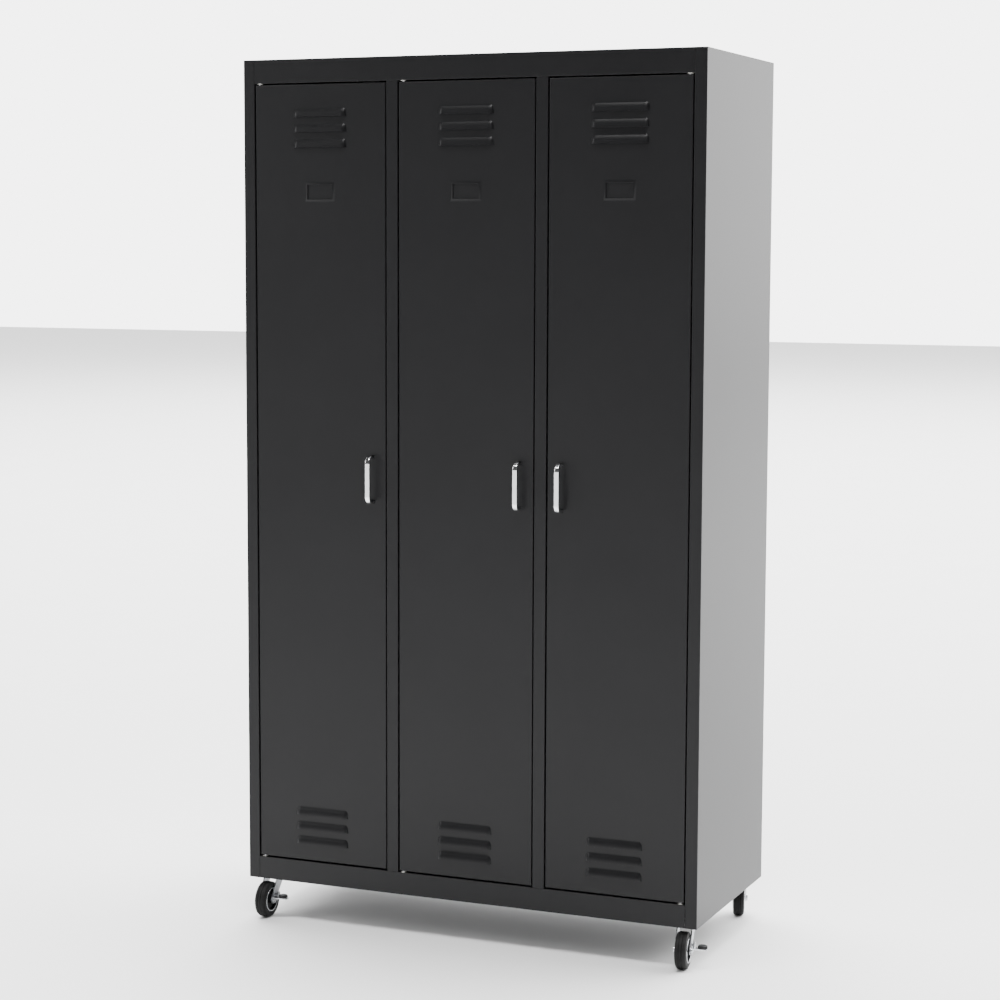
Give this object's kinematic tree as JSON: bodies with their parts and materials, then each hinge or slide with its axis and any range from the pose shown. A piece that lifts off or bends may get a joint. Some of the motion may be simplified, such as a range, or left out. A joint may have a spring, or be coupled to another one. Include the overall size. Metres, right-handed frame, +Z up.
{
  "type": "locker cabinet",
  "caption": "Tall steel locker cabinet with full-height louvred doors, bow handles, shelves, hanging rails and swivel casters.",
  "frame": {"origin": "on the floor under the middle of the body", "axes": "+Z up, +X to the right seen from the front, the doors face -Y"},
  "size_m": [1.0189, 0.4937, 1.8],
  "materials": {
    "black_paint": "satin powder coat",
    "chrome": "polished",
    "bright_steel": "bright zinc",
    "zinc_plate": "zinc plated pressing",
    "zinc_fastener": "zinc plated",
    "tyre": "matte rubber",
    "black_plastic": "moulded",
    "nylon": "natural nylon",
    "catch_plastic": "moulded",
    "magnet": "ferrite"
  },
  "bodies": {
    "carcass": {"back_panel": "black_paint", "bottom_panel": "black_paint", "caster_bolts": "zinc_fastener", "caster_plates": "zinc_plate", "catch_magnets": "magnet", "hanging_rail_left": "bright_steel", "hanging_rail_middle": "bright_steel", "hanging_rail_right": "bright_steel", "kingpins": "zinc_plate", "magnet_catches": "catch_plastic", "partition_left": "black_paint", "partition_right": "black_paint", "pivot_bushes": "nylon", "rail_sockets": "bright_steel", "shelf_left": "black_paint", "shelf_middle": "black_paint", "shelf_right": "black_paint", "side_panel_left": "black_paint", "side_panel_right": "black_paint", "top_panel": "black_paint"},
    "door_left": {"door_left": "black_paint", "door_stiffener_left": "black_paint", "handle_left": "chrome", "handle_screws_left": "zinc_fastener", "hinge_pin_bottom_left": "bright_steel", "hinge_pin_top_left": "bright_steel"},
    "door_middle": {"door_middle": "black_paint", "door_stiffener_middle": "black_paint", "handle_middle": "chrome", "handle_screws_middle": "zinc_fastener", "hinge_pin_bottom_middle": "bright_steel", "hinge_pin_top_middle": "bright_steel"},
    "door_right": {"door_right": "black_paint", "door_stiffener_right": "black_paint", "handle_right": "chrome", "handle_screws_right": "zinc_fastener", "hinge_pin_bottom_right": "bright_steel", "hinge_pin_top_right": "bright_steel"},
    "caster_front_left": {"caster_fork_front_left": "zinc_plate", "wheel_axle_front_left": "zinc_plate"},
    "wheel_front_left": {"wheel_hub_front_left": "black_plastic", "wheel_tyre_front_left": "tyre"},
    "brake_front_left": {"brake_lever_front_left": "zinc_plate", "brake_pad_front_left": "black_plastic"},
    "caster_front_right": {"caster_fork_front_right": "zinc_plate", "wheel_axle_front_right": "zinc_plate"},
    "wheel_front_right": {"wheel_hub_front_right": "black_plastic", "wheel_tyre_front_right": "tyre"},
    "brake_front_right": {"brake_lever_front_right": "zinc_plate", "brake_pad_front_right": "black_plastic"},
    "caster_rear_left": {"caster_fork_rear_left": "zinc_plate", "wheel_axle_rear_left": "zinc_plate"},
    "wheel_rear_left": {"wheel_hub_rear_left": "black_plastic", "wheel_tyre_rear_left": "tyre"},
    "caster_rear_right": {"caster_fork_rear_right": "zinc_plate", "wheel_axle_rear_right": "zinc_plate"},
    "wheel_rear_right": {"wheel_hub_rear_right": "black_plastic", "wheel_tyre_rear_right": "tyre"}
  },
  "joints": [
    {"name": "door_left_hinge", "type": "hinge", "parent": "carcass", "child": "door_left", "pos_m": [-0.4645, -0.213, 0.942], "axis": [0, 0, -1], "range_deg": [0, 110]},
    {"name": "door_middle_hinge", "type": "hinge", "parent": "carcass", "child": "door_middle", "pos_m": [-0.1395, -0.213, 0.942], "axis": [0, 0, -1], "range_deg": [0, 110]},
    {"name": "door_right_hinge", "type": "hinge", "parent": "carcass", "child": "door_right", "pos_m": [0.4645, -0.213, 0.942], "axis": [0, 0, 1], "range_deg": [0, 110]},
    {"name": "swivel_front_left", "type": "hinge", "parent": "carcass", "child": "caster_front_left", "pos_m": [-0.464, -0.175, 0.09], "axis": [0, 0, 1], "continuous": true},
    {"name": "wheel_spin_front_left", "type": "hinge", "parent": "caster_front_left", "child": "wheel_front_left", "pos_m": [-0.464, -0.209, 0.0375], "axis": [-1, 0, 0], "continuous": true},
    {"name": "brake_front_left_press", "type": "hinge", "parent": "caster_front_left", "child": "brake_front_left", "pos_m": [-0.464, -0.197, 0.046], "axis": [1, 0, 0], "range_deg": [0, 20]},
    {"name": "swivel_front_right", "type": "hinge", "parent": "carcass", "child": "caster_front_right", "pos_m": [0.464, -0.175, 0.09], "axis": [0, 0, 1], "continuous": true},
    {"name": "wheel_spin_front_right", "type": "hinge", "parent": "caster_front_right", "child": "wheel_front_right", "pos_m": [0.46873, -0.20867, 0.0375], "axis": [-0.9903, -0.1392, 0], "continuous": true},
    {"name": "brake_front_right_press", "type": "hinge", "parent": "caster_front_right", "child": "brake_front_right", "pos_m": [0.46706, -0.19679, 0.046], "axis": [0.9903, 0.1392, 0], "range_deg": [0, 20]},
    {"name": "swivel_rear_left", "type": "hinge", "parent": "carcass", "child": "caster_rear_left", "pos_m": [-0.464, 0.175, 0.09], "axis": [0, 0, 1], "continuous": true},
    {"name": "wheel_spin_rear_left", "type": "hinge", "parent": "caster_rear_left", "child": "wheel_rear_left", "pos_m": [-0.46696, 0.20887, 0.0375], "axis": [0.9962, 0.0872, 0], "continuous": true},
    {"name": "swivel_rear_right", "type": "hinge", "parent": "carcass", "child": "caster_rear_right", "pos_m": [0.464, 0.175, 0.09], "axis": [0, 0, 1], "continuous": true},
    {"name": "wheel_spin_rear_right", "type": "hinge", "parent": "caster_rear_right", "child": "wheel_rear_right", "pos_m": [0.45406, 0.20751, 0.0375], "axis": [0.9563, 0.2924, 0], "continuous": true}
  ]
}
